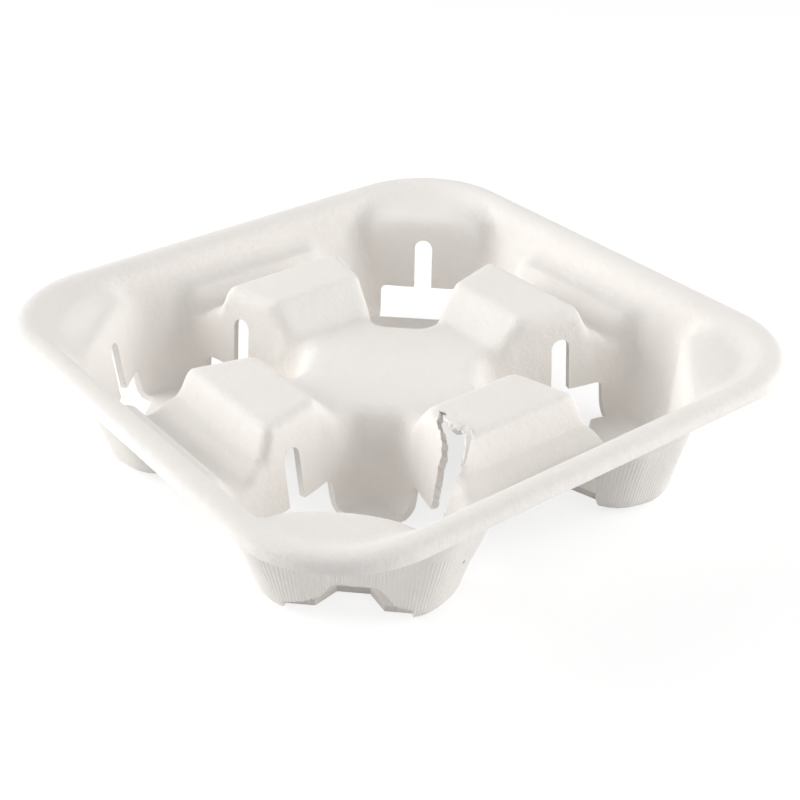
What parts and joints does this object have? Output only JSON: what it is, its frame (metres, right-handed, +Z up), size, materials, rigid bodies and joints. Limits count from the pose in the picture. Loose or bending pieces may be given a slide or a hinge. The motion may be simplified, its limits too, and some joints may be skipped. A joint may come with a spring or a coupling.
{
  "type": "moulded pulp cup carrier",
  "caption": "Square moulded-pulp tray that carries drinks cups in deep wells with grip slots, round a low middle platform, with a rolled rim; one slot is torn.",
  "frame": {"origin": "middle of the tray in plan, at the undersides of the feet", "axes": "+Z up; X and Y parallel to the sides of the rim"},
  "size_m": [0.215, 0.215, 0.05],
  "materials": {
    "moulded_pulp": "matt, fibrous, warm white"
  },
  "bodies": {
    "root": {"cup_carrier": "moulded_pulp"}
  },
  "joints": []
}
